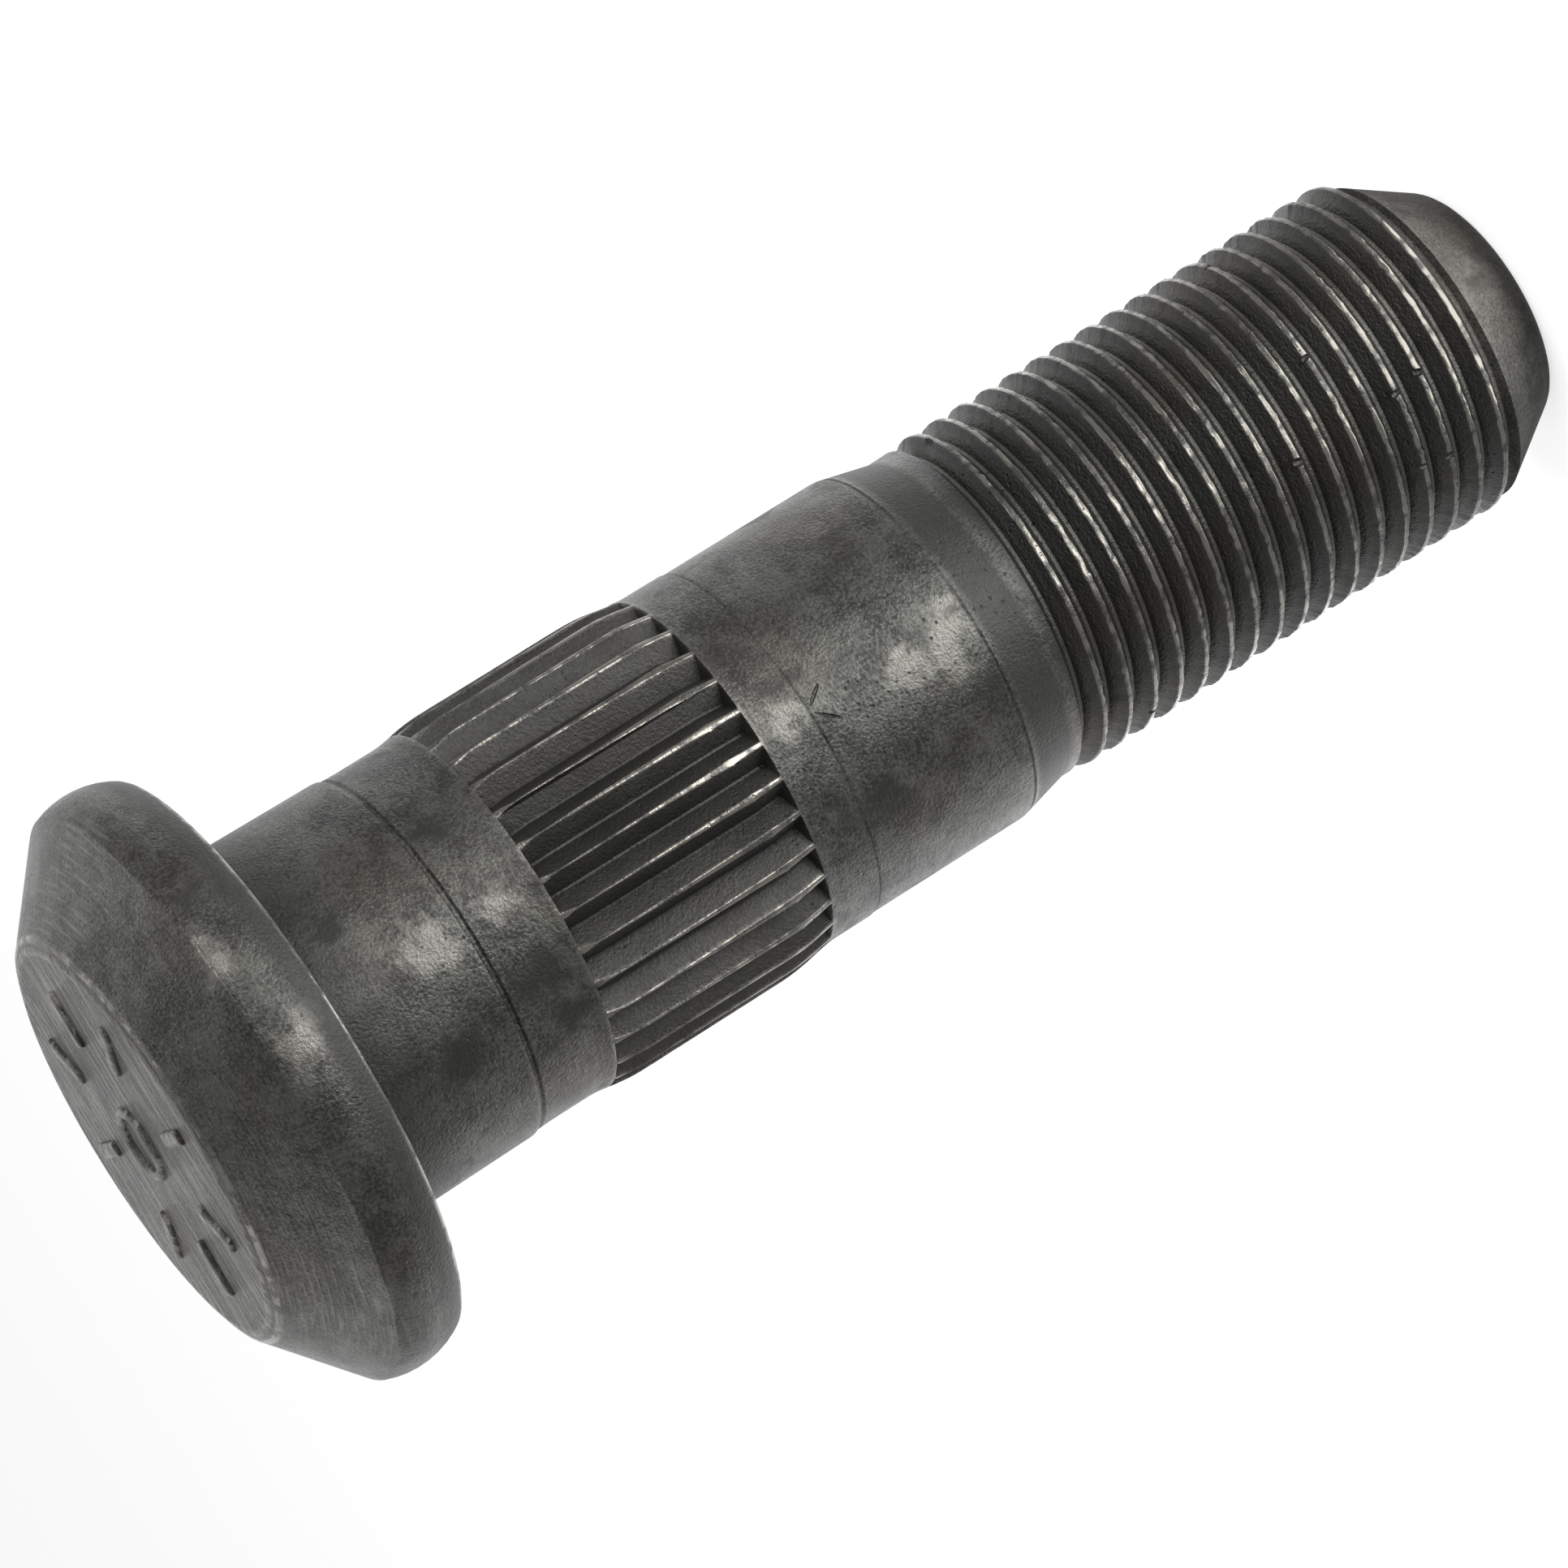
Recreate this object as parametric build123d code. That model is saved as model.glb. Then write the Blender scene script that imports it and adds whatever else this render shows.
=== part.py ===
from build123d import *
import math
import os

# A press-in wheel stud, forged, rolled and threaded from one bar. Millimetres, with +Z along the axis
# from the thread's end face up to the head, and the origin at the centre of that end face.

# Thread, as the cylinder that its crests lie on, and its lead-in cone
THREAD_D = 17.8  # major diameter of an M18 x 1.5 thread as rolled
THREAD_LENGTH = 25.8  # from the lead-in cone to the run-out neck
LEAD_IN_LENGTH = 4.6
LEAD_IN_ANGLE = 33.0  # degrees between the cone and the axis
END_EDGE_R = 1.3  # rounding between the cone and the end face
RUNOUT_D = 17.46  # plain neck where the thread runs out
RUNOUT_LENGTH = 0.75

# Plain shank that the wheel's hole goes over
TAPER_LENGTH = 3.1  # cone from the run-out neck up to the shank
TAPER_EDGE_R = 3.0  # rounding where that cone meets the shank
SHANK_D = 18.8
SHANK_LENGTH = 8.6
COLLAR_D = 18.92  # narrow land that the rolling leaves beside the knurl
COLLAR_LENGTH = 2.4

# Knurled band that is pressed into the hub
KNURL_D = 19.7  # over the crests of the ribs
KNURL_LENGTH = 9.5  # where the ribs have their full height
KNURL_FADE_TO_COLLAR = 2.2  # length over which the crests sink to the collar
KNURL_FADE_TO_NECK = 1.8  # length over which the crests sink to the neck
RIB_COUNT = 32
RIB_LAND = 0.3  # width of the narrow flat left on each crest
GROOVE_ANGLE = 90.0  # degrees between the two flanks of a groove
GROOVE_END_ANGLE = 45.0  # degrees between a groove's end wall and the axis
GROOVE_END_AT_COLLAR = 0.45  # from the collar's edge to the groove's end
GROOVE_END_AT_NECK = 0.7  # from the neck's edge to the groove's end
GROOVE_CUT_MARGIN = 1.0  # how far a groove's cutting shape stands clear of the metal

# Neck and thicker shank under the head
NECK_D = 19.07
NECK_LENGTH = 2.6
STEP_LENGTH = 1.3  # short cone between the neck and the thicker shank
UPPER_SHANK_LOW_D = 19.38
UPPER_SHANK_TOP_D = 19.6
UPPER_SHANK_LENGTH = 7.95
SEAT_CONE = 0.7  # radial width and height of the small cone between that shank and the head's underside

# Head: a convex rim, a cone and a flat face
RIM_SEAT_D = 29.8  # at the head's underside, before its edge is rounded
RIM_D = 31.1  # across the bulge, half way up the rim
RIM_FRONT_D = 30.5  # edge between the rim and the cone
RIM_HEIGHT = 3.8
RIM_EDGE_R = 0.5
HEAD_CONE_HEIGHT = 3.9
FACE_D = 21.3
FACE_EDGE_R = 0.8

# Heights of the sections, from the end face up
lead_in_top = LEAD_IN_LENGTH
thread_top = lead_in_top + THREAD_LENGTH
runout_top = thread_top + RUNOUT_LENGTH
taper_top = runout_top + TAPER_LENGTH
shank_top = taper_top + SHANK_LENGTH
collar_top = shank_top + COLLAR_LENGTH
knurl_bottom = collar_top + KNURL_FADE_TO_COLLAR
knurl_top = knurl_bottom + KNURL_LENGTH
neck_bottom = knurl_top + KNURL_FADE_TO_NECK
neck_top = neck_bottom + NECK_LENGTH
step_top = neck_top + STEP_LENGTH
seat = step_top + UPPER_SHANK_LENGTH
rim_top = seat + RIM_HEIGHT
face = rim_top + HEAD_CONE_HEIGHT

# Radii that several steps use
thread_r = THREAD_D / 2
end_r = thread_r - LEAD_IN_LENGTH * math.tan(math.radians(LEAD_IN_ANGLE))
runout_r = RUNOUT_D / 2
shank_r = SHANK_D / 2
collar_r = COLLAR_D / 2
knurl_r = KNURL_D / 2
neck_r = NECK_D / 2
upper_shank_top_r = UPPER_SHANK_TOP_D / 2
rim_seat_r = RIM_SEAT_D / 2
rim_front_r = RIM_FRONT_D / 2
face_r = FACE_D / 2


def blank():
    """The turned and forged form, before the knurl's grooves: its half section revolved about the axis."""
    stem = Polyline(
        (0, 0),
        (end_r, 0),
        (thread_r, lead_in_top),
        (thread_r, thread_top),
        (runout_r, thread_top),
        (runout_r, runout_top),
        (shank_r, taper_top),
        (shank_r, shank_top),
        (collar_r, shank_top),
        (collar_r, collar_top),
        (knurl_r, knurl_bottom),
        (knurl_r, knurl_top),
        (neck_r, neck_bottom),
        (neck_r, neck_top),
        (UPPER_SHANK_LOW_D / 2, step_top),
        (upper_shank_top_r, seat - SEAT_CONE),
        (upper_shank_top_r + SEAT_CONE, seat),
        (rim_seat_r, seat),
    )
    rim = ThreePointArc((rim_seat_r, seat), (RIM_D / 2, (seat + rim_top) / 2), (rim_front_r, rim_top))
    front = Polyline((rim_front_r, rim_top), (face_r, face), (0, face), (0, 0))
    section = make_face(stem + rim + front)
    roundings = [
        ((end_r, 0), END_EDGE_R),
        ((shank_r, taper_top), TAPER_EDGE_R),
        ((rim_seat_r, seat), RIM_EDGE_R),
        ((face_r, face), FACE_EDGE_R),
    ]
    for corner, radius in roundings:
        section = fillet(section.vertices().sort_by_distance(corner)[0], radius)
    return revolve(Plane.XZ * section, Axis.Z)


def knurl_groove():
    """What one groove of the knurl takes away on the +X side: a V along the axis with sloped end walls."""
    half_width = (math.pi * KNURL_D / RIB_COUNT - RIB_LAND) / 2
    flank = math.tan(math.radians(GROOVE_ANGLE / 2))
    end_slope = math.tan(math.radians(GROOVE_END_ANGLE))
    root_r = math.sqrt(knurl_r**2 - half_width**2) - half_width / flank
    outer_r = max(knurl_r, neck_r, collar_r) + GROOVE_CUT_MARGIN
    outer_half_width = (outer_r - root_r) * flank

    low_end = collar_top + GROOVE_END_AT_COLLAR
    high_end = neck_bottom - GROOVE_END_AT_NECK
    root_low = low_end + (collar_r - root_r) / end_slope
    root_high = high_end - (neck_r - root_r) / end_slope
    outer_low = low_end - (outer_r - collar_r) / end_slope
    outer_high = high_end + (outer_r - neck_r) / end_slope

    cross = make_face(
        Polyline((root_r, 0), (outer_r, outer_half_width), (outer_r, -outer_half_width), close=True)
    )
    side = make_face(
        Polyline(
            (root_r, root_low), (root_r, root_high), (outer_r, outer_high), (outer_r, outer_low), close=True
        )
    )
    long_wedge = extrude(Plane.XY.offset(outer_low) * cross, outer_high - outer_low)
    return long_wedge & extrude(Plane.XZ * side, outer_half_width, both=True)


wheel_stud = blank() - PolarLocations(0, RIB_COUNT) * knurl_groove()
wheel_stud.label = "wheel_stud"

os.makedirs("parts", exist_ok=True)
export_step(wheel_stud, "parts/wheel_stud.step")
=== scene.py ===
import math

import bmesh
import bpy
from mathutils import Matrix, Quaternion, Vector


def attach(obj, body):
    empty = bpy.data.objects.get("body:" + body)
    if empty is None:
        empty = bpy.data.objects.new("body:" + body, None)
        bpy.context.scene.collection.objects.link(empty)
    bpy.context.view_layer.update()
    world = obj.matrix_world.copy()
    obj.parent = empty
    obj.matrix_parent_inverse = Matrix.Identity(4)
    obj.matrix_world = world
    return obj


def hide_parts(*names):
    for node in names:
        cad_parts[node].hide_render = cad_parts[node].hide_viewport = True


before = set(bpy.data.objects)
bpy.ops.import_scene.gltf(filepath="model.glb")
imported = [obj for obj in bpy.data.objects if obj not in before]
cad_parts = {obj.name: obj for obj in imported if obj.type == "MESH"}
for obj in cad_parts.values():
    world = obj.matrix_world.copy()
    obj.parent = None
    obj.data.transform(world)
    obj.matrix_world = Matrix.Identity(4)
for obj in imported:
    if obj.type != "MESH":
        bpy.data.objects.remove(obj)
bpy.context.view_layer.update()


# The wheel stud: one bar of medium-carbon steel. Its head is forged with a convex rim and a cone, its
# shanks are turned, and its knurl and its left-hand thread are rolled. It stands here on its thread's end.
MM = 0.001
SEGMENTS = 192  # round the axis, six to each rib of the knurl

# Half section from the middle of the end face, up the stem and over the head: radius and height in mm
half_section = [
    (0.0, 0.0),
    (5.913, 0.0),
    (8.9, 4.6),
    (8.9, 29.3),
    (8.76, 30.0),
    (8.73, 31.15),
    (9.33, 33.62),
    (9.29, 33.73),
    (9.385, 33.84),
    (9.4, 34.15),
    (9.4, 42.68),
    (9.35, 42.8),
    (9.455, 42.9),
    (9.46, 45.25),
    (9.85, 47.45),
    (9.85, 56.95),
    (9.535, 58.75),
    (9.535, 61.3),
    (9.565, 62.02),
    (9.46, 62.15),
    (9.46, 62.3),
    (9.67, 62.4),
    (9.69, 62.65),
    (9.8, 69.9),
    (10.5, 70.6),
    (14.9, 70.6),
    (15.145, 71.031),
    (15.337, 71.489),
    (15.471, 71.966),
    (15.546, 72.457),
    (15.562, 72.952),
    (15.517, 73.446),
    (15.412, 73.931),
    (15.25, 74.4),
    (10.65, 78.3),
    (0.0, 78.3),
]


def draw_line(name, points):
    """A new mesh with one line, drawn in the XZ plane by extruding a vertex from point to point, in mm."""
    bpy.ops.object.select_all(action="DESELECT")
    bpy.ops.mesh.primitive_plane_add(size=MM)
    piece = bpy.context.object
    piece.name = name
    piece.data.name = name
    bpy.ops.object.mode_set(mode="EDIT")
    bpy.ops.mesh.select_mode(type="VERT")
    bpy.ops.mesh.select_all(action="SELECT")
    bpy.ops.mesh.merge(type="CENTER")
    at = points[0]
    bpy.ops.transform.translate(value=(at[0] * MM, 0, at[1] * MM))
    for x, z in points[1:]:
        step = ((x - at[0]) * MM, 0, (z - at[1]) * MM)
        bpy.ops.mesh.extrude_region_move(TRANSFORM_OT_translate={"value": step})
        at = (x, z)
    return piece


def select_where(piece, kind, test):
    """Selects the vertices, edges or faces of a mesh in edit mode that pass a test on themselves."""
    bpy.ops.mesh.select_mode(type=kind)
    bpy.ops.mesh.select_all(action="DESELECT")
    shape = bmesh.from_edit_mesh(piece.data)
    parts = {"VERT": shape.verts, "EDGE": shape.edges, "FACE": shape.faces}[kind]
    for part in parts:
        if test(part):
            part.select_set(True)
    bmesh.update_edit_mesh(piece.data)


def radius_of(point):
    """Distance of a point from the stud's axis, in mm."""
    return math.hypot(point.x, point.y) / MM


def close_up(piece):
    """Merges doubles and turns all faces of a mesh in edit mode outwards."""
    bpy.ops.mesh.select_all(action="SELECT")
    bpy.ops.mesh.remove_doubles(threshold=0.0005 * MM)
    bpy.ops.mesh.select_all(action="SELECT")
    bpy.ops.mesh.normals_make_consistent(inside=False)


def round_ring(piece, radius, height, width, segments):
    """Bevels the ring of edges at one radius and height of a turned shape, all in mm."""

    def on_ring(edge):
        return all(
            abs(vert.co.z / MM - height) < 0.004 and abs(radius_of(vert.co) - radius) < 0.004
            for vert in edge.verts
        )

    select_where(piece, "EDGE", on_ring)
    bpy.ops.mesh.bevel(offset=width * MM, segments=segments, affect="EDGES", clamp_overlap=False)


# The blank is the half section spun round the axis, with its edges eased
stud = draw_line("wheel_stud_body", half_section)
bpy.ops.mesh.select_all(action="SELECT")
bpy.ops.mesh.spin(steps=SEGMENTS, angle=math.tau, center=(0, 0, 0), axis=(0, 0, 1))
close_up(stud)

ring_roundings = [
    (5.913, 0.0, 0.72, 5),
    (8.9, 4.6, 0.1, 2),
    (9.85, 47.45, 0.9, 4),
    (9.85, 56.95, 0.7, 4),
    (9.46, 45.25, 0.4, 3),
    (9.535, 58.75, 0.4, 3),
    (9.67, 62.4, 0.03, 2),
    (9.8, 69.9, 0.3, 3),
    (10.5, 70.6, 0.25, 3),
    (14.9, 70.6, 0.2, 3),
    (15.25, 74.4, 0.06, 2),
    (10.65, 78.3, 0.34, 1),
]
for ring in ring_roundings:
    round_ring(stud, *ring)
bpy.ops.object.mode_set(mode="OBJECT")


def combine(piece, other, operation):
    """Joins another closed mesh to a piece or cuts it away, and deletes the other mesh."""
    bpy.ops.object.select_all(action="DESELECT")
    piece.select_set(True)
    bpy.context.view_layer.objects.active = piece
    change = piece.modifiers.new("change", "BOOLEAN")
    change.operation = operation
    change.solver = "EXACT"
    change.object = other
    bpy.ops.object.modifier_apply(modifier=change.name)
    bpy.data.objects.remove(other)


# Forging marks on the face: eight plain raised bars and a small ring, left by the die
bpy.ops.object.select_all(action="DESELECT")
bpy.ops.mesh.primitive_cube_add(size=MM, location=(6.7 * MM, 0, 78.2 * MM), scale=(3.0, 0.85, 0.64))
marks = bpy.context.object
bpy.ops.object.transform_apply(location=True, rotation=True, scale=True)
bpy.ops.object.mode_set(mode="EDIT")
select_where(marks, "EDGE", lambda edge: max(vert.co.z for vert in edge.verts) / MM > 78.4)
bpy.ops.mesh.bevel(offset=0.2 * MM, segments=3, affect="EDGES")
bpy.ops.mesh.select_all(action="SELECT")
for turn in range(7):
    bpy.ops.mesh.duplicate()
    bpy.ops.transform.rotate(value=math.tau / 8, orient_axis="Z", center_override=(0, 0, 0))
bpy.ops.mesh.primitive_torus_add(
    location=(0, 0, 78.25 * MM),
    major_segments=48,
    minor_segments=12,
    major_radius=1.7 * MM,
    minor_radius=0.32 * MM,
)
bpy.ops.object.mode_set(mode="OBJECT")
combine(stud, marks, "UNION")

# Rolled knurl: thirty-two V grooves along the axis, which keep their width where the crests sink at the
# ends. Each is drawn from the side as what is cut away, widened, and pinched nearly shut along its root.
RIB_COUNT = 32
GROOVE_DEPTH = 0.935
groove_side = [
    (9.6, 45.6),
    (8.67, 45.85),
    (8.995, 47.45),
    (8.995, 56.95),
    (8.79, 57.85),
    (9.73, 58.1),
    (9.93, 56.95),
    (9.93, 47.45),
]
cutter = draw_line("cutter", groove_side)
bpy.ops.mesh.select_all(action="SELECT")
bpy.ops.mesh.edge_face_add()
bpy.ops.transform.translate(value=(0, -GROOVE_DEPTH * MM, 0))
bpy.ops.mesh.extrude_region_move(TRANSFORM_OT_translate={"value": (0, 2 * GROOVE_DEPTH * MM, 0)})
select_where(cutter, "VERT", lambda vert: vert.co.x / MM < 9.3)
bpy.ops.transform.resize(value=(1, 0.06, 1), center_override=(0, 0, 0))
close_up(cutter)
select_where(
    cutter,
    "EDGE",
    lambda edge: abs(edge.verts[0].co.x - edge.verts[1].co.x) > 0.8 * MM
    and not 47 < edge.verts[0].co.z / MM < 57,
)
bpy.ops.mesh.bevel(offset=0.03 * MM, segments=2, affect="EDGES")
bpy.ops.mesh.select_all(action="SELECT")
for turn in range(RIB_COUNT - 1):
    bpy.ops.mesh.duplicate()
    bpy.ops.transform.rotate(value=math.tau / RIB_COUNT, orient_axis="Z", center_override=(0, 0, 0))
bpy.ops.object.mode_set(mode="OBJECT")

# Rolled thread, M18 x 1.5 left-hand: one helical groove with a rounded root, which fades out at the neck
PITCH = 1.5
TURNS = 20
GROOVE_START = 0.994  # height of the groove's middle where the helix starts, on +X, below the lead-in cone
groove_profile = [
    (8.98, -0.77),
    (8.2, -0.137),
    (8.15, -0.1),
    (8.135, -0.05),
    (8.135, 0.05),
    (8.15, 0.1),
    (8.2, 0.137),
    (8.98, 0.586),
]
helix = draw_line("helix", [(r, GROOVE_START + z) for r, z in groove_profile])
select_where(helix, "VERT", lambda vert: vert.co.x / MM > 8.95)
bpy.ops.mesh.edge_face_add()
bpy.ops.object.mode_set(mode="OBJECT")
screw = helix.modifiers.new("helix", "SCREW")
screw.axis = "Z"
screw.angle = -math.tau
screw.screw_offset = PITCH * MM
screw.iterations = TURNS
screw.steps = SEGMENTS
screw.render_steps = SEGMENTS
screw.use_merge_vertices = False
screw.use_smooth_shade = False
bpy.ops.object.modifier_apply(modifier=screw.name)

# The last half turn climbs out of the metal, so the groove runs out on the far side
FADE_TURN = 0.48
FADE_RISE = 1.0
for vert in helix.data.vertices:
    turned = -math.atan2(vert.co.y, vert.co.x) / math.tau
    middle = GROOVE_START + PITCH * turned
    whole = round((vert.co.z / MM - middle) / PITCH)
    to_end = TURNS - (turned + whole)
    if to_end < FADE_TURN:
        rise = FADE_RISE * (1 - to_end / FADE_TURN)
        outwards = 1 + rise / radius_of(vert.co)
        vert.co.x *= outwards
        vert.co.y *= outwards
bpy.ops.object.mode_set(mode="EDIT")
close_up(helix)
bpy.ops.mesh.select_all(action="SELECT")
bpy.ops.mesh.fill_holes(sides=0)
close_up(helix)
bpy.ops.object.mode_set(mode="OBJECT")

bpy.ops.object.select_all(action="DESELECT")
helix.select_set(True)
cutter.select_set(True)
bpy.context.view_layer.objects.active = cutter
bpy.ops.object.join()

combine(stud, cutter, "DIFFERENCE")
bpy.ops.object.mode_set(mode="EDIT")
bpy.ops.mesh.select_all(action="SELECT")
bpy.ops.mesh.dissolve_degenerate(threshold=0.004 * MM)

# Rolling leaves the thread's crests uneven by a few hundredths of a millimetre
select_where(stud, "VERT", lambda vert: radius_of(vert.co) > 8.87 and 4.9 < vert.co.z / MM < 29.2)
bpy.ops.transform.vertex_random(offset=0.045 * MM, uniform=0.0, normal=0.0, seed=3)


# The crests of the ribs and of the thread have their edges worn round
def wear_edges(low, high, least_radius, width, segments):
    """Bevels the sharp outer edges between two heights and beyond a radius, all in mm."""

    def is_worn(edge):
        if len(edge.link_faces) != 2 or edge.calc_face_angle_signed() < math.radians(25):
            return False
        return all(
            low < vert.co.z / MM < high and radius_of(vert.co) > least_radius for vert in edge.verts
        )

    select_where(stud, "EDGE", is_worn)
    bpy.ops.mesh.bevel(offset=width * MM, segments=segments, affect="EDGES")


wear_edges(4.7, 31.0, 8.7, 0.035, 2)
wear_edges(45.5, 58.2, 9.45, 0.03, 2)
bpy.ops.mesh.select_all(action="SELECT")
bpy.ops.mesh.dissolve_degenerate(threshold=0.002 * MM)
bpy.ops.mesh.select_all(action="SELECT")
bpy.ops.mesh.delete_loose()

# The head is forged a third of a millimetre out of line with the shank
select_where(
    stud,
    "VERT",
    lambda vert: vert.co.z / MM > 70.65 or (vert.co.z / MM > 70.5 and radius_of(vert.co) > 12),
)
bpy.ops.transform.translate(value=(-0.33 * MM, -0.03 * MM, 0))
bpy.ops.object.mode_set(mode="OBJECT")

# Nicks from handling: turn round the axis and slant in degrees, then height, radius, and half of the
# length, width and depth in mm. A slant of 0 runs along the axis.
nicks = [
    (342.6, 0, 12.2, 8.9, 0.4, 0.2, 0.16),
    (287.6, 10, 12.55, 8.9, 0.35, 0.16, 0.14),
    (265.6, -15, 8.15, 8.9, 0.4, 0.2, 0.18),
    (263.6, 10, 9.6, 8.9, 0.4, 0.17, 0.15),
    (261.6, -10, 15.6, 8.9, 0.4, 0.22, 0.2),
    (259.6, 20, 28.55, 8.9, 0.4, 0.2, 0.16),
    (339.6, 75, 29.1, 8.9, 0.7, 0.3, 0.25),
    (203.6, 0, 26.6, 8.9, 0.4, 0.2, 0.16),
    (235.6, 15, 8.25, 8.9, 0.4, 0.2, 0.18),
    (237.6, -10, 9.75, 8.9, 0.4, 0.17, 0.15),
    (98.0, 5, 19.0, 8.9, 0.4, 0.2, 0.16),
    (41.0, -20, 22.1, 8.9, 0.45, 0.2, 0.18),
    (130.0, 12, 11.4, 8.9, 0.4, 0.18, 0.15),
    (279.5, 38, 42.18, 9.4, 0.6, 0.11, 0.13),
    (272.3, -40, 42.1, 9.4, 0.75, 0.09, 0.1),
    (75.0, 60, 39.5, 9.4, 0.9, 0.08, 0.06),
    (261.4, -25, 72.3, 15.55, 0.55, 0.06, 0.05),
    (259.9, -12, 72.2, 15.55, 0.45, 0.06, 0.05),
    (118.0, 50, 72.9, 15.55, 0.8, 0.08, 0.06),
]
bpy.ops.object.select_all(action="DESELECT")
dents = []
for turn, slant, height, radius, half_length, half_width, depth in nicks:
    around = math.radians(turn)
    bpy.ops.mesh.primitive_uv_sphere_add(
        segments=12,
        ring_count=8,
        radius=MM,
        location=(math.cos(around) * radius * MM, math.sin(around) * radius * MM, height * MM),
        rotation=(math.radians(slant), 0, around),
        scale=(depth, half_width, half_length),
    )
    dents.append(bpy.context.object)
for dent in dents:
    dent.select_set(True)
bpy.ops.object.join()
combine(stud, bpy.context.object, "DIFFERENCE")
bpy.ops.object.shade_smooth_by_angle(angle=math.radians(32))
# Large faces keep their own normals, so flanks and crests stay flat and only the worn edges look round
weigh = stud.modifiers.new("weigh", "WEIGHTED_NORMAL")
weigh.keep_sharp = True
bpy.ops.object.modifier_apply(modifier=weigh.name)


def linear(hex_colour):
    """The linear RGBA of an sRGB hex colour."""
    parts = [int(hex_colour[i : i + 2], 16) / 255 for i in (1, 3, 5)]
    return [c / 12.92 if c <= 0.04045 else ((c + 0.055) / 1.055) ** 2.4 for c in parts] + [1.0]


def add_node(tree, kind, inputs=None, **settings):
    """Adds one node, sets its properties, and gives its inputs their values or links."""
    node = tree.nodes.new(kind)
    for name, value in settings.items():
        setattr(node, name, value)
    for name, value in (inputs or {}).items():
        if isinstance(value, bpy.types.NodeSocket):
            tree.links.new(value, node.inputs[name])
        else:
            node.inputs[name].default_value = value
    return node


# Black phosphate on forged steel, oiled: a dark satin grey, mottled all over with darker and paler spots, dark
# stains and a brown cast in places. A fine crystal grain breaks the highlights into speckle. Handling has
# rubbed the crests and the head's edges through to smoother, brighter metal.
finish = bpy.data.materials.new("black_phosphated_steel")
finish.use_nodes = True
tree = finish.node_tree
tree.nodes.clear()
place = add_node(tree, "ShaderNodeTexCoord").outputs["Object"]
flat = add_node(tree, "ShaderNodeVectorMath", {0: place, 1: (1, 1, 0)}, operation="MULTIPLY").outputs[0]
radius = add_node(tree, "ShaderNodeVectorMath", {0: flat}, operation="LENGTH").outputs["Value"]
height = add_node(tree, "ShaderNodeSeparateXYZ", {0: place}).outputs["Z"]

# The coat's mottling runs from patches of 2.5 mm down to single crystals
mottle = add_node(
    tree, "ShaderNodeTexNoise", {"Vector": place, "Scale": 1000 / 2.5, "Detail": 6.0, "Roughness": 0.72}
).outputs["Fac"]
# Marks on the shanks have ragged edges, drawn by shifting places about by up to a millimetre
tatters = add_node(
    tree, "ShaderNodeTexNoise", {"Vector": place, "Scale": 1000 / 1.6, "Detail": 4.0, "Roughness": 0.65}
).outputs["Color"]
shift = add_node(
    tree, "ShaderNodeVectorMath", {0: tatters, 1: (0.5, 0.5, 0.5)}, operation="SUBTRACT"
).outputs[0]
shift = add_node(tree, "ShaderNodeVectorMath", {0: shift, "Scale": 4 * MM}, operation="SCALE").outputs[0]
ragged = add_node(tree, "ShaderNodeVectorMath", {0: place, 1: shift}, operation="ADD").outputs[0]
# Marks of use, each with its turn round the axis in degrees, then height, radius and half width in mm:
# places that wheel and hub have polished, stains, and places on the head that were scuffed round and round
marks_of_use = {
    "polished": [
        (275.8, 64.3, 9.7, 1.7),
        (276.9, 60.4, 9.5, 1.3),
        (276.0, 35.0, 9.4, 1.5),
        (267.5, 35.6, 9.4, 1.2),
        (269.3, 37.6, 9.4, 1.5),
        (277.8, 44.0, 9.4, 1.2),
        (274.0, 72.6, 15.5, 1.5),
        (294.0, 74.0, 15.3, 1.1),
        (18.0, 65.0, 9.7, 1.6),
        (96.0, 37.2, 9.4, 1.8),
        (150.0, 60.3, 9.5, 1.4),
        (172.0, 66.5, 9.7, 1.7),
        (100.0, 73.2, 15.5, 1.9),
    ],
    "stains_and_shade": [
        (253.2, 60.4, 9.5, 1.7),
        (254.4, 33.9, 9.4, 1.4),
        (305.3, 61.0, 9.5, 1.2),
        (245.4, 65.5, 9.7, 1.9),
        (245.1, 41.3, 9.4, 1.2),
        (238.0, 59.7, 9.5, 1.4),
        (296.0, 67.5, 9.7, 1.5),
        (60.0, 61.0, 9.5, 1.6),
        (130.0, 66.4, 9.7, 1.7),
        (108.0, 41.0, 9.4, 1.5),
    ],
    "scuffed": [
        (334.0, 75.6, 13.8, 4.5),
        (345.0, 77.0, 12.2, 3.5),
        (214.0, 75.6, 13.8, 5.0),
        (222.0, 77.0, 12.2, 3.5),
        (70.0, 76.0, 13.3, 5.0),
        (140.0, 75.6, 13.8, 4.0),
    ],
}
masks = {}
for name, places in marks_of_use.items():
    mask = None
    for turn, rise, out, half_width in places:
        around = math.radians(turn)
        spot = (out * math.cos(around) * MM, out * math.sin(around) * MM, rise * MM)
        gap = add_node(tree, "ShaderNodeVectorMath", {0: ragged, 1: spot}, operation="DISTANCE").outputs["Value"]
        within = add_node(
            tree,
            "ShaderNodeMapRange",
            {"Value": gap, "From Min": half_width * MM, "From Max": 0.45 * half_width * MM},
        ).outputs[0]
        if mask is None:
            mask = within
        else:
            mask = add_node(tree, "ShaderNodeMath", {0: mask, 1: within}, operation="MAXIMUM").outputs[0]
    masks[name] = mask
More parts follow.
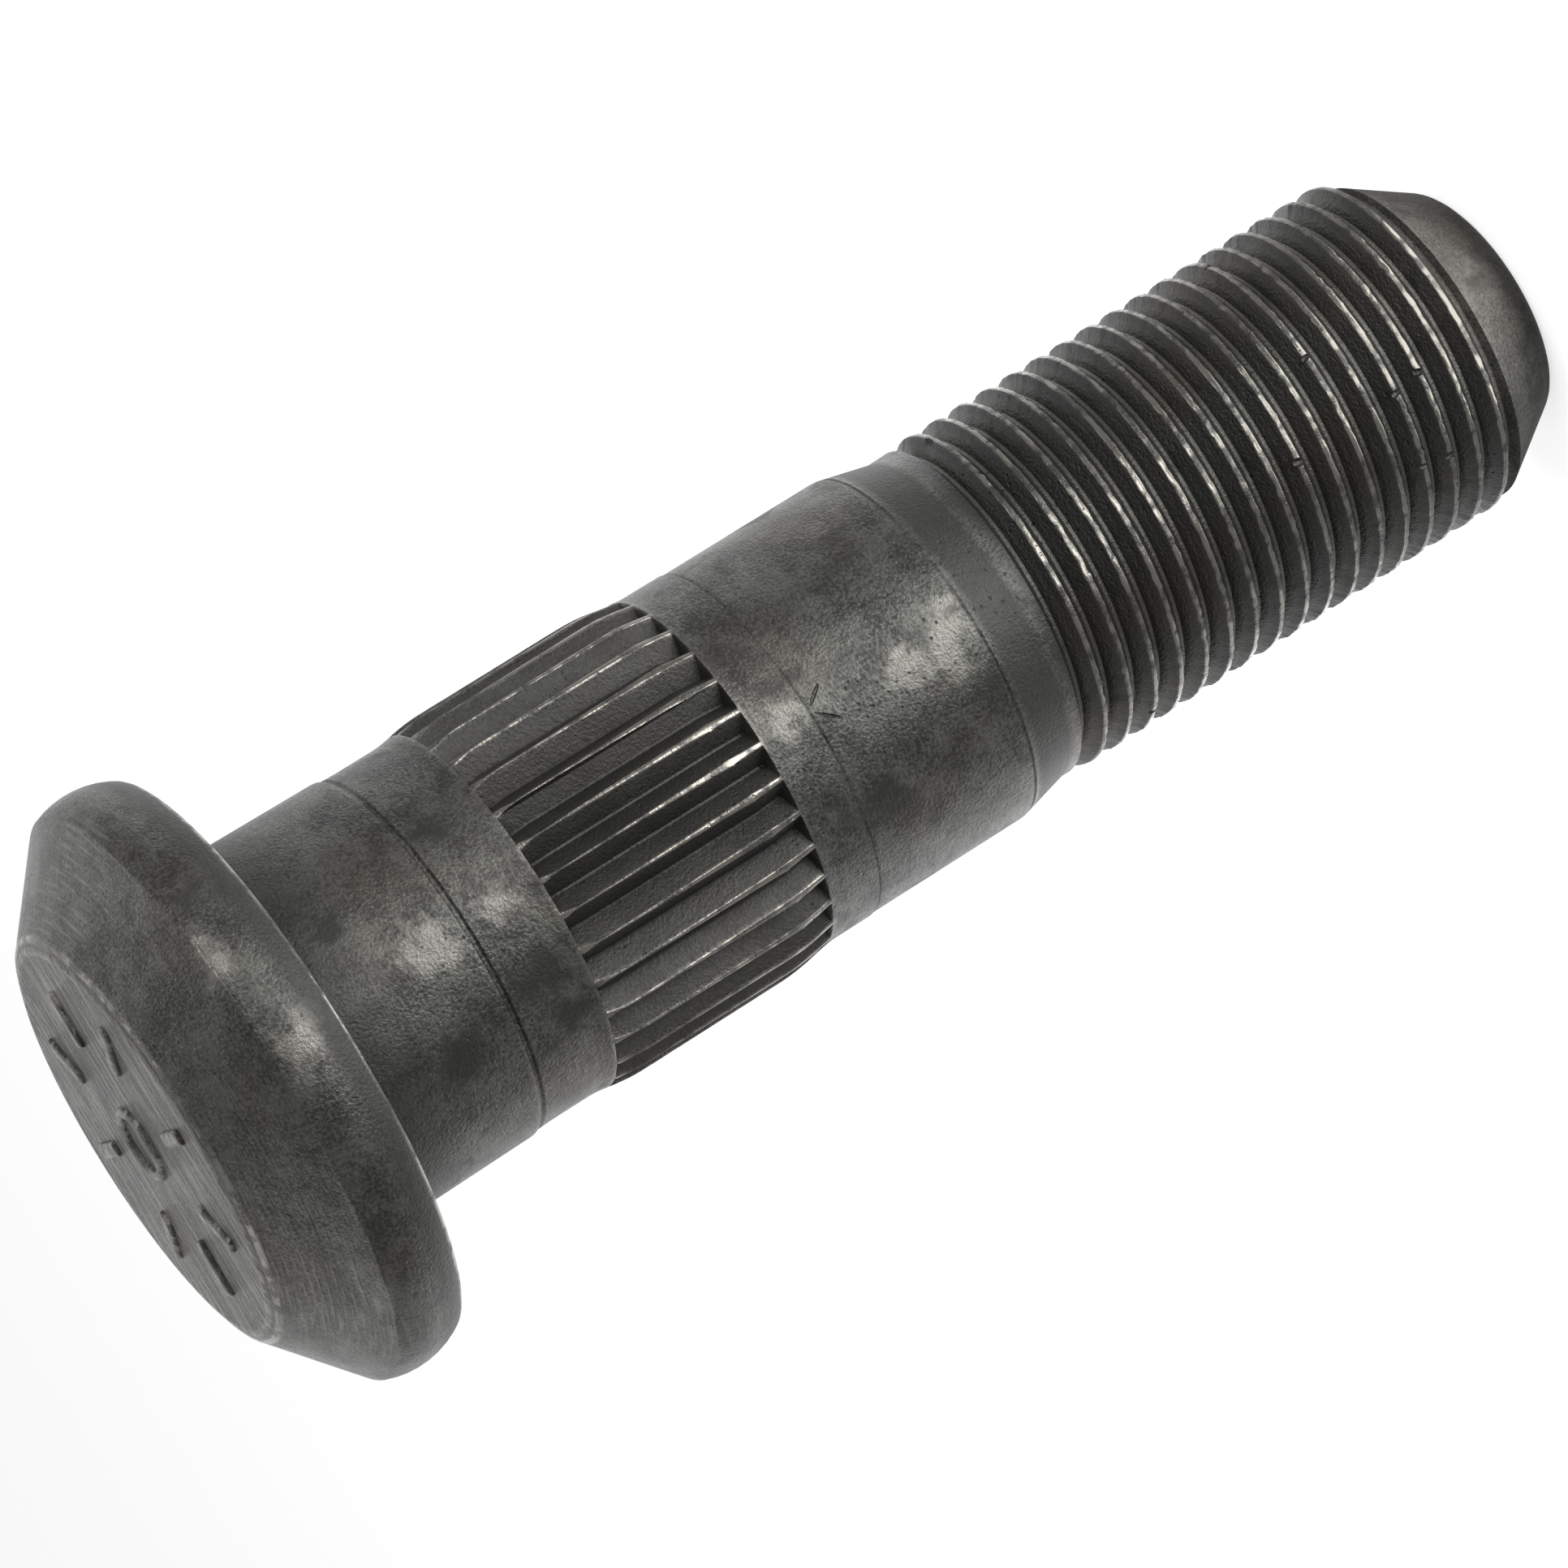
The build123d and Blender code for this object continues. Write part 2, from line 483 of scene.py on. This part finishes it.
# Smaller oil stains are 2 to 3 mm across
blots = add_node(
    tree,
    "ShaderNodeTexNoise",
    {"Vector": place, "W": 3.7, "Scale": 1000 / 2.6, "Detail": 5.0, "Roughness": 0.6, "Distortion": 0.8},
    noise_dimensions="4D",
).outputs["Fac"]
blotted = add_node(
    tree, "ShaderNodeMapRange", {"Value": blots, "From Min": 0.54, "From Max": 0.66, "To Max": 0.75}
).outputs[0]
stem = add_node(
    tree,
    "ShaderNodeMapRange",
    {"Value": height, "From Min": 74.4 * MM, "From Max": 73.9 * MM, "To Min": 0.25},
).outputs[0]
stains_and_shade = add_node(tree, "ShaderNodeMath", {0: blotted, 1: stem}, operation="MULTIPLY").outputs[0]
stains_and_shade = add_node(tree, "ShaderNodeMath", {0: stains_and_shade, 1: masks["stains_and_shade"]}, operation="MAXIMUM").outputs[0]
# The brown cast comes and goes over 7 mm
cast = add_node(
    tree,
    "ShaderNodeTexNoise",
    {"Vector": place, "W": 9.1, "Scale": 1000 / 7.0, "Detail": 3.0},
    noise_dimensions="4D",
).outputs["Fac"]
browned = add_node(
    tree, "ShaderNodeMapRange", {"Value": cast, "From Min": 0.45, "From Max": 0.7, "To Max": 0.28}
).outputs[0]
# The real crystals are a few hundredths of a millimetre, so the grain is drawn coarser, at 0.16 mm
grain = add_node(
    tree, "ShaderNodeTexNoise", {"Vector": place, "Scale": 1000 / 0.16, "Detail": 3.0, "Roughness": 0.6}
).outputs["Fac"]
speckle = add_node(tree, "ShaderNodeMath", {0: mottle, 1: grain}, operation="ADD").outputs[0]
mottled = add_node(
    tree, "ShaderNodeMapRange", {"Value": speckle, "From Min": 0.84, "From Max": 1.16}
).outputs[0]
# Turning and wiping leave fine lines round the axis, 0.22 mm apart and a few millimetres long
outwards = add_node(tree, "ShaderNodeVectorMath", {0: flat}, operation="NORMALIZE").outputs[0]
rounds = add_node(tree, "ShaderNodeVectorMath", {0: outwards, 1: (5, 5, 0)}, operation="MULTIPLY").outputs[0]
along = add_node(tree, "ShaderNodeMath", {0: height, 1: radius}, operation="SUBTRACT").outputs[0]
spaced = add_node(tree, "ShaderNodeMath", {0: along, 1: 1000 / 0.22}, operation="MULTIPLY").outputs[0]
lines = add_node(tree, "ShaderNodeCombineXYZ", {"Z": spaced}).outputs[0]
line_place = add_node(tree, "ShaderNodeVectorMath", {0: rounds, 1: lines}, operation="ADD").outputs[0]
streaks = add_node(
    tree, "ShaderNodeTexNoise", {"Vector": line_place, "Scale": 1.0, "Detail": 2.0}
).outputs["Fac"]
# The face is ground: its scratches run along X, are about 6 mm long and up to 0.5 mm apart
ground = add_node(
    tree, "ShaderNodeVectorMath", {0: place, 1: (1000 / 6.0, 1000 / 0.5, 0)}, operation="MULTIPLY"
).outputs[0]
scratches = add_node(
    tree, "ShaderNodeTexNoise", {"Vector": ground, "Scale": 1.0, "Detail": 5.0, "Roughness": 0.65}
).outputs["Fac"]
scratches = add_node(
    tree, "ShaderNodeMapRange", {"Value": scratches, "From Min": 0.3, "From Max": 0.7}
).outputs[0]
on_face = add_node(
    tree, "ShaderNodeMapRange", {"Value": height, "From Min": 78.15 * MM, "From Max": 78.25 * MM}
).outputs[0]
marked = add_node(tree, "ShaderNodeMix", {0: on_face, 2: streaks, 3: scratches}).outputs[0]
lined = add_node(
    tree,
    "ShaderNodeMapRange",
    {"Value": height, "From Min": 73.5 * MM, "From Max": 78.2 * MM, "To Min": 0.12, "To Max": 1.0},
).outputs[0]
# Pits are a tenth of a millimetre across and come in clusters, where the coat is thin
spots = add_node(tree, "ShaderNodeTexVoronoi", {"Vector": place, "Scale": 1000 / 0.55}).outputs["Distance"]
pitted = add_node(
    tree,
    "ShaderNodeMapRange",
    {"Value": spots, "From Min": 0.08, "From Max": 0.2, "To Min": 1.0, "To Max": 0.0},
    interpolation_type="SMOOTHSTEP",
).outputs[0]
thin = add_node(
    tree, "ShaderNodeMapRange", {"Value": cast, "From Min": 0.5, "From Max": 0.4}
).outputs[0]
pits = add_node(tree, "ShaderNodeMath", {0: pitted, 1: thin}, operation="MULTIPLY").outputs[0]

# Lines that are rubbed bare show all over the face and where the cone is scuffed
bare = add_node(
    tree, "ShaderNodeMapRange", {"Value": marked, "From Min": 0.52, "From Max": 0.64, "To Max": 0.8}
).outputs[0]
scuffed = add_node(tree, "ShaderNodeMath", {0: masks["scuffed"], 1: 0.5}, operation="MULTIPLY").outputs[0]
exposed = add_node(tree, "ShaderNodeMath", {0: scuffed, 1: on_face}, operation="MAXIMUM").outputs[0]
scored = add_node(tree, "ShaderNodeMath", {0: bare, 1: exposed}, operation="MULTIPLY").outputs[0]

# The thread's crests, up to where it runs out, and the flanks just under them, which are darkened with painted
# shade
below = add_node(
    tree, "ShaderNodeMapRange", {"Value": height, "From Min": 31.0 * MM, "From Max": 30.3 * MM}
).outputs[0]
crest = add_node(
    tree,
    "ShaderNodeMapRange",
    {"Value": radius, "From Min": 8.865 * MM, "From Max": 8.9 * MM},
    interpolation_type="SMOOTHSTEP",
).outputs[0]
thread_rub = add_node(tree, "ShaderNodeMath", {0: crest, 1: below}, operation="MULTIPLY").outputs[0]
flank = add_node(
    tree,
    "ShaderNodeMapRange",
    {"Value": radius, "From Min": 8.4 * MM, "From Max": 8.72 * MM},
    interpolation_type="SMOOTHSTEP",
).outputs[0]
painted_flank_shade = add_node(tree, "ShaderNodeMath", {0: flank, 1: below}, operation="MULTIPLY").outputs[0]

# The knurl's lands, which sink towards both ends, and the grooves below them, which are darkened with painted
# shade
rising = add_node(
    tree,
    "ShaderNodeMapRange",
    {
        "Value": height,
        "From Min": 45.25 * MM,
        "From Max": 47.45 * MM,
        "To Min": 9.46 * MM,
        "To Max": 9.85 * MM,
    },
).outputs[0]
sinking = add_node(
    tree,
    "ShaderNodeMapRange",
    {
        "Value": height,
        "From Min": 56.95 * MM,
        "From Max": 58.75 * MM,
        "To Min": 9.85 * MM,
        "To Max": 9.535 * MM,
    },
).outputs[0]
top = add_node(tree, "ShaderNodeMath", {0: rising, 1: sinking}, operation="MINIMUM").outputs[0]
depth = add_node(tree, "ShaderNodeMath", {0: top, 1: radius}, operation="SUBTRACT").outputs[0]
land = add_node(
    tree,
    "ShaderNodeMapRange",
    {"Value": depth, "From Min": 0.1 * MM, "From Max": 0.04 * MM},
    interpolation_type="SMOOTHSTEP",
).outputs[0]
over = add_node(
    tree, "ShaderNodeMapRange", {"Value": height, "From Min": 45.4 * MM, "From Max": 45.8 * MM}
).outputs[0]
under = add_node(
    tree, "ShaderNodeMapRange", {"Value": height, "From Min": 58.3 * MM, "From Max": 57.9 * MM}
).outputs[0]
band = add_node(tree, "ShaderNodeMath", {0: over, 1: under}, operation="MULTIPLY").outputs[0]
knurl_rub = add_node(tree, "ShaderNodeMath", {0: land, 1: band}, operation="MULTIPLY").outputs[0]
sunk = add_node(
    tree, "ShaderNodeMapRange", {"Value": depth, "From Min": 0.08 * MM, "From Max": 0.2 * MM, "To Max": 0.75}
).outputs[0]
groove_shade = add_node(tree, "ShaderNodeMath", {0: sunk, 1: band}, operation="MULTIPLY").outputs[0]

# The head's edges, as rings of radius and height about the head's own axis
head_place = add_node(tree, "ShaderNodeVectorMath", {0: flat, 1: (0.33 * MM, 0.03 * MM, 0)}).outputs[0]
head_radius = add_node(tree, "ShaderNodeVectorMath", {0: head_place}, operation="LENGTH").outputs["Value"]
section = add_node(tree, "ShaderNodeCombineXYZ", {"X": head_radius, "Z": height}).outputs[0]
to_edge = None
for ring in [(14.95, 70.65), (10.91, 78.08), (10.31, 78.3)]:
    gap = add_node(
        tree,
        "ShaderNodeVectorMath",
        {0: section, 1: (ring[0] * MM, 0, ring[1] * MM)},
        operation="DISTANCE",
    ).outputs["Value"]
    if to_edge is None:
        to_edge = gap
    else:
        to_edge = add_node(tree, "ShaderNodeMath", {0: to_edge, 1: gap}, operation="MINIMUM").outputs[0]
edge_rub = add_node(
    tree, "ShaderNodeMapRange", {"Value": to_edge, "From Min": 0.26 * MM, "From Max": 0.1 * MM}
).outputs[0]

# Under the rim's widest part and in the corner under the head, painted shade darkens the coat, which is dull
# there too: rings of radius and height again, then how far the painted shade reaches and where it is fullest, in
# mm
for ring_radius, ring_height, reach, full in [(15.15, 71.1, 1.5, 0.6), (9.8, 70.3, 4.2, 0.8)]:
    gap = add_node(
        tree,
        "ShaderNodeVectorMath",
        {0: section, 1: (ring_radius * MM, 0, ring_height * MM)},
        operation="DISTANCE",
    ).outputs["Value"]
    dark = add_node(
        tree,
        "ShaderNodeMapRange",
        {"Value": gap, "From Min": reach * MM, "From Max": full * MM, "To Max": 0.8},
    ).outputs[0]
    stains_and_shade = add_node(tree, "ShaderNodeMath", {0: stains_and_shade, 1: dark}, operation="MAXIMUM").outputs[0]

# So it is on the taper above the thread: painted shade darkens the coat, which is dull there too
over_thread = add_node(
    tree, "ShaderNodeMapRange", {"Value": height, "From Min": 30.9 * MM, "From Max": 31.3 * MM, "To Max": 0.85}
).outputs[0]
under_shank = add_node(
    tree, "ShaderNodeMapRange", {"Value": height, "From Min": 33.7 * MM, "From Max": 33.2 * MM}
).outputs[0]
taper = add_node(tree, "ShaderNodeMath", {0: over_thread, 1: under_shank}, operation="MULTIPLY").outputs[0]
stains_and_shade = add_node(tree, "ShaderNodeMath", {0: stains_and_shade, 1: taper}, operation="MAXIMUM").outputs[0]
# The lead-in cone is cut, not rolled, so its coat is paler and matte
lead_in = add_node(
    tree, "ShaderNodeMapRange", {"Value": height, "From Min": 4.6 * MM, "From Max": 4.3 * MM}
).outputs[0]

# The rub is uneven, in patches under a millimetre
crests = add_node(tree, "ShaderNodeMath", {0: thread_rub, 1: knurl_rub}, operation="MAXIMUM").outputs[0]
handled = add_node(tree, "ShaderNodeMath", {0: crests, 1: edge_rub}, operation="MAXIMUM").outputs[0]
raised = add_node(
    tree, "ShaderNodeMapRange", {"Value": height, "From Min": 78.42 * MM, "From Max": 78.5 * MM}
).outputs[0]
handled = add_node(tree, "ShaderNodeMath", {0: handled, 1: raised}, operation="MAXIMUM").outputs[0]
patches = add_node(
    tree, "ShaderNodeTexNoise", {"Vector": place, "Scale": 1000 / 0.9, "Detail": 3.0}
).outputs["Fac"]
kept = add_node(
    tree, "ShaderNodeMapRange", {"Value": patches, "From Min": 0.42, "From Max": 0.55, "To Min": 0.2}
).outputs[0]
rub = add_node(tree, "ShaderNodeMath", {0: handled, 1: kept}, operation="MULTIPLY").outputs[0]

# Colour: the mottled coat, paler in the thread's groove, darkened with painted shade on the thread's flanks,
# browned, stained, darkened with painted shade under the head, on the taper and in the knurl's grooves, and dark
# in pits
coat = add_node(
    tree, "ShaderNodeMix", {0: mottled, 6: linear("#10100f"), 7: linear("#3d3d39")}, data_type="RGBA"
).outputs[2]
coat = add_node(
    tree, "ShaderNodeMix", {0: below, 6: coat, 7: linear("#2f2f2c")}, data_type="RGBA"
).outputs[2]
# Painted shade darkens the thread's flanks just under the crests
coat = add_node(
    tree, "ShaderNodeMix", {0: painted_flank_shade, 6: coat, 7: linear("#121211")}, data_type="RGBA"
).outputs[2]
cut = add_node(
    tree, "ShaderNodeMix", {0: mottled, 6: linear("#1f1f1d"), 7: linear("#42413d")}, data_type="RGBA"
).outputs[2]
coat = add_node(tree, "ShaderNodeMix", {0: lead_in, 6: coat, 7: cut}, data_type="RGBA").outputs[2]
coat = add_node(
    tree, "ShaderNodeMix", {0: browned, 6: coat, 7: linear("#352a21")}, data_type="RGBA"
).outputs[2]
pale = add_node(tree, "ShaderNodeMath", {0: masks["polished"], 1: 0.75}, operation="MULTIPLY").outputs[0]
coat = add_node(
    tree, "ShaderNodeMix", {0: pale, 6: coat, 7: linear("#5b5954")}, data_type="RGBA"
).outputs[2]
# Stains, and painted shade under the head and on the taper, darken the coat
coat = add_node(
    tree, "ShaderNodeMix", {0: stains_and_shade, 6: coat, 7: linear("#141412")}, data_type="RGBA"
).outputs[2]
# Painted shade darkens the knurl's grooves
coat = add_node(
    tree, "ShaderNodeMix", {0: groove_shade, 6: coat, 7: linear("#222120")}, data_type="RGBA"
).outputs[2]
coat = add_node(
    tree, "ShaderNodeMix", {0: pits, 6: coat, 7: linear("#0c0c0c")}, data_type="RGBA"
).outputs[2]
coat = add_node(
    tree, "ShaderNodeMix", {0: scored, 6: coat, 7: linear("#6a6862")}, data_type="RGBA"
).outputs[2]
rubbed = add_node(
    tree, "ShaderNodeMix", {0: below, 6: linear("#5f5d58"), 7: linear("#585651")}, data_type="RGBA"
).outputs[2]
colour = add_node(tree, "ShaderNodeMix", {0: rub, 6: coat, 7: rubbed}, data_type="RGBA").outputs[2]
metal = add_node(tree, "ShaderNodeMapRange", {"Value": rub, "To Min": 0.6, "To Max": 1.0}).outputs[0]

# Gloss: satin on the coat, smoother where it is polished or rubbed, dull in the stains, under the head, on the
# taper and in the knurl's grooves, and dullest on the lead-in cone
satin = add_node(tree, "ShaderNodeMapRange", {"Value": mottled, "To Min": 0.36, "To Max": 0.26}).outputs[0]
satin = add_node(tree, "ShaderNodeMix", {0: masks["polished"], 2: satin, 3: 0.22}).outputs[0]
satin = add_node(tree, "ShaderNodeMix", {0: stains_and_shade, 2: satin, 3: 0.5}).outputs[0]
satin = add_node(tree, "ShaderNodeMix", {0: groove_shade, 2: satin, 3: 0.55}).outputs[0]
satin = add_node(tree, "ShaderNodeMix", {0: lead_in, 2: satin, 3: 0.75}).outputs[0]
rough = add_node(tree, "ShaderNodeMix", {0: rub, 2: satin, 3: 0.14}).outputs[0]
grainy = add_node(tree, "ShaderNodeMapRange", {"Value": rub, "To Min": 1.0, "To Max": 0.12}).outputs[0]
relief = add_node(
    tree, "ShaderNodeBump", {"Strength": grainy, "Distance": 0.055 * MM, "Height": grain}
).outputs[0]
relief = add_node(
    tree, "ShaderNodeBump", {"Strength": lined, "Distance": 0.13 * MM, "Height": marked, "Normal": relief}
).outputs[0]
relief = add_node(
    tree,
    "ShaderNodeBump",
    {"Strength": 1.0, "Distance": 0.03 * MM, "Height": pits, "Normal": relief},
    invert=True,
).outputs[0]
shader = add_node(
    tree,
    "ShaderNodeBsdfPrincipled",
    {"Base Color": colour, "Metallic": metal, "Roughness": rough, "Normal": relief},
)
add_node(tree, "ShaderNodeOutputMaterial", {"Surface": shader.outputs[0]})
stud.data.materials.append(finish)

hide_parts("wheel_stud")
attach(stud, "root")


# The floor is a sweep of white card under the stud
bpy.ops.object.select_all(action="DESELECT")
bpy.ops.mesh.primitive_plane_add(size=4.0, location=(0, 0, 0))
floor = bpy.context.object
floor.name = "floor"

card = bpy.data.materials.new("white_card")
card.use_nodes = True
tree = card.node_tree
tree.nodes.clear()
path = add_node(tree, "ShaderNodeLightPath")
seen = add_node(
    tree,
    "ShaderNodeMath",
    {0: path.outputs["Is Camera Ray"], 1: path.outputs["Is Glossy Ray"]},
    operation="MAXIMUM",
)
seen = add_node(
    tree, "ShaderNodeMath", {0: seen.outputs[0], 1: path.outputs["Is Transmission Ray"]}, operation="MAXIMUM"
)
glow = add_node(tree, "ShaderNodeEmission", {"Color": linear("#ffffff"), "Strength": 0.72})
paper = add_node(tree, "ShaderNodeBsdfDiffuse", {"Color": linear("#e6e6e6")})
bright = add_node(tree, "ShaderNodeAddShader", {0: paper.outputs[0], 1: glow.outputs[0]})
shown = add_node(
    tree, "ShaderNodeMixShader", {0: seen.outputs[0], 1: paper.outputs[0], 2: bright.outputs[0]}
)
add_node(tree, "ShaderNodeOutputMaterial", {"Surface": shown.outputs[0]})
floor.data.materials.append(card)

# The room round it is white too
room = bpy.data.worlds.new("room")
bpy.context.scene.world = room
room.use_nodes = True
tree = room.node_tree
tree.nodes.clear()
path = add_node(tree, "ShaderNodeLightPath")
seen = add_node(
    tree,
    "ShaderNodeMath",
    {0: path.outputs["Is Camera Ray"], 1: path.outputs["Is Glossy Ray"]},
    operation="MAXIMUM",
)
seen = add_node(
    tree, "ShaderNodeMath", {0: seen.outputs[0], 1: path.outputs["Is Transmission Ray"]}, operation="MAXIMUM"
)
level = add_node(tree, "ShaderNodeMapRange", {"Value": seen.outputs[0], "To Min": 0.25, "To Max": 1.0})
sky = add_node(tree, "ShaderNodeBackground", {"Color": linear("#ffffff"), "Strength": level.outputs[0]})
add_node(tree, "ShaderNodeOutputWorld", {"Surface": sky.outputs[0]})

# Light pads lie on the floor and give the bright bands along the stud: three in a row towards the camera and
# one on each side behind it. Three soft boxes on the camera's side light the head, and two behind it, high up,
# light its cone and the thread's flanks.
CAMERA_SIDE = math.radians(274.585)


def add_panel(name, turn, distance, height, size, strength, tilt):
    """A soft light at an angle from the camera's side, in degrees and mm, tilted up from facing the axis."""
    around = CAMERA_SIDE + math.radians(turn)
    spot = Vector((math.cos(around) * distance, math.sin(around) * distance, height)) * MM
    bpy.ops.object.light_add(type="AREA", location=spot)
    panel = bpy.context.object
    panel.name = name
    panel.data.shape = "RECTANGLE"
    panel.data.size = size[0] * MM
    panel.data.size_y = size[1] * MM
    panel.data.energy = strength * 4 * panel.data.size * panel.data.size_y
    panel.visible_camera = False
    facing = Vector((-math.cos(around), -math.sin(around), 0.0))
    facing = facing * math.cos(math.radians(tilt)) + Vector((0, 0, math.sin(math.radians(tilt))))
    panel.rotation_mode = "QUATERNION"
    panel.rotation_quaternion = facing.to_track_quat("-Z", "Y")
    return panel


add_panel("near pad", 6.0, 24, 1, (26, 32), 5.5, 89.9)
add_panel("middle pad", 6.0, 82, 1, (58, 58), 7.2, 89.9)
add_panel("far pad", 8.0, 162, 1, (115, 96), 6.8, 89.9)
add_panel("front box", 16.0, 130, 84, (50, 34), 5.5, 0)
add_panel("upper box", 40.0, 150, 124, (50, 44), 5.0, 0)
add_panel("side box", 45.0, 300, 150, (160, 140), 2.0, -27)
add_panel("right pad", -120.0, 160, 1, (90, 250), 1.0, 89.9)
add_panel("left pad", 115.0, 160, 1, (90, 250), 0.7, 89.9)
add_panel("right box", -125.0, 210, 290, (200, 200), 1.2, -45)
add_panel("left box", 120.0, 210, 290, (200, 200), 1.6, -45)

# The camera is a long lens in front of the stud and a little above it, turned on its side
bpy.ops.object.camera_add(location=(31.18 * MM, -388.81 * MM, 158.47 * MM))
camera = bpy.context.object
look = Vector((-0.081563, 0.955341, -0.284029))
camera.rotation_mode = "QUATERNION"
camera.rotation_quaternion = look.to_track_quat("-Z", "Y") @ Quaternion((0, 0, 1), math.radians(-122.1))
camera.data.lens = 197.46
camera.data.sensor_width = 36.0
bpy.context.scene.camera = camera

bpy.context.scene.view_settings.view_transform = "Standard"
